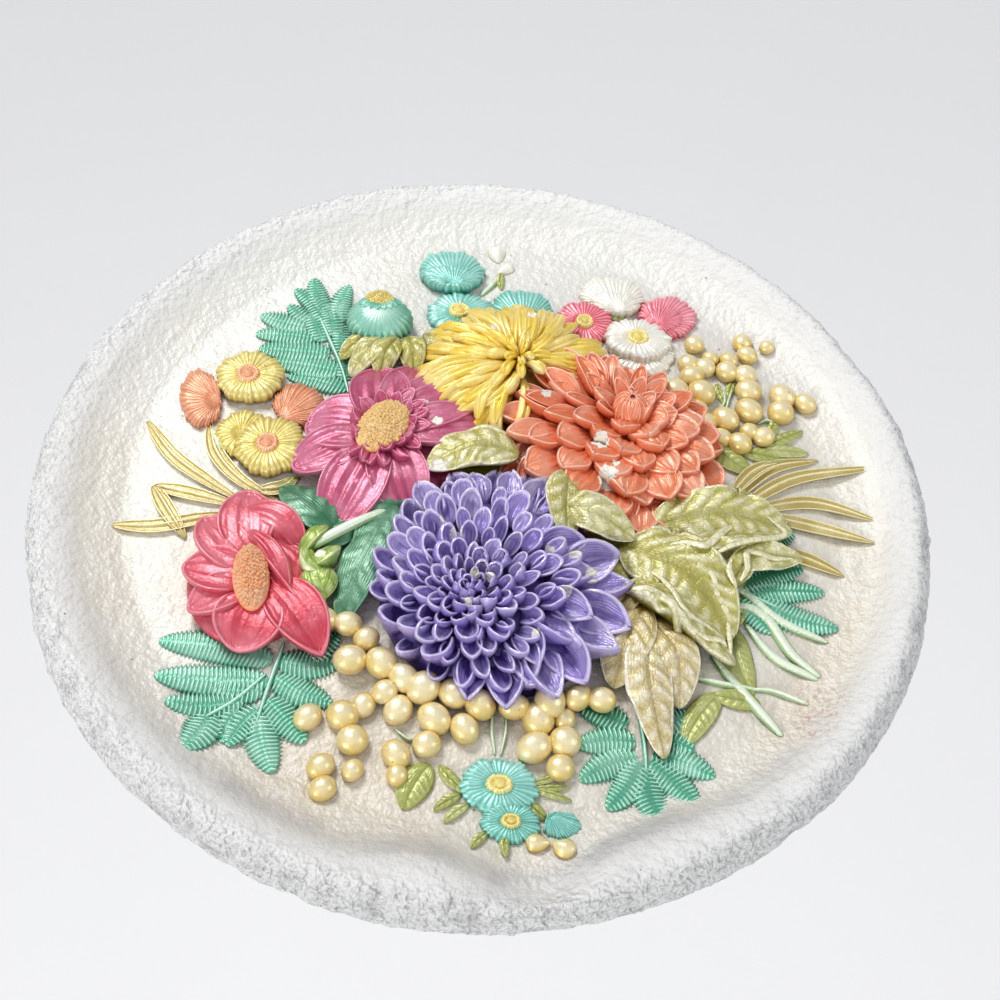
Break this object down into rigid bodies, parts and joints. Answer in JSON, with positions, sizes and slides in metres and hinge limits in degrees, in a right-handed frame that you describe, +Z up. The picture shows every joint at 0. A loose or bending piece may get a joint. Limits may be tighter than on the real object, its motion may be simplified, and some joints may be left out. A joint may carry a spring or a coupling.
{
  "type": "decorative wall plaque",
  "caption": "Round cast plaster wall plaque: shallow dish with a rolled rough rim and a painted high-relief bouquet of dahlias, daisies, berries and ferns.",
  "frame": {"origin": "centre of the flat back face, where the plaque rests against the wall", "axes": "+Z up as the plaque hangs, +X to the right as seen from the room, +Y into the wall, so the relief faces -Y"},
  "size_m": [0.3552, 0.0375, 0.356],
  "materials": {
    "painted_plaster": "pearly cream paint on plaster, flowers in pearlescent colours"
  },
  "bodies": {
    "root": {"plaque": "painted_plaster"}
  },
  "joints": []
}
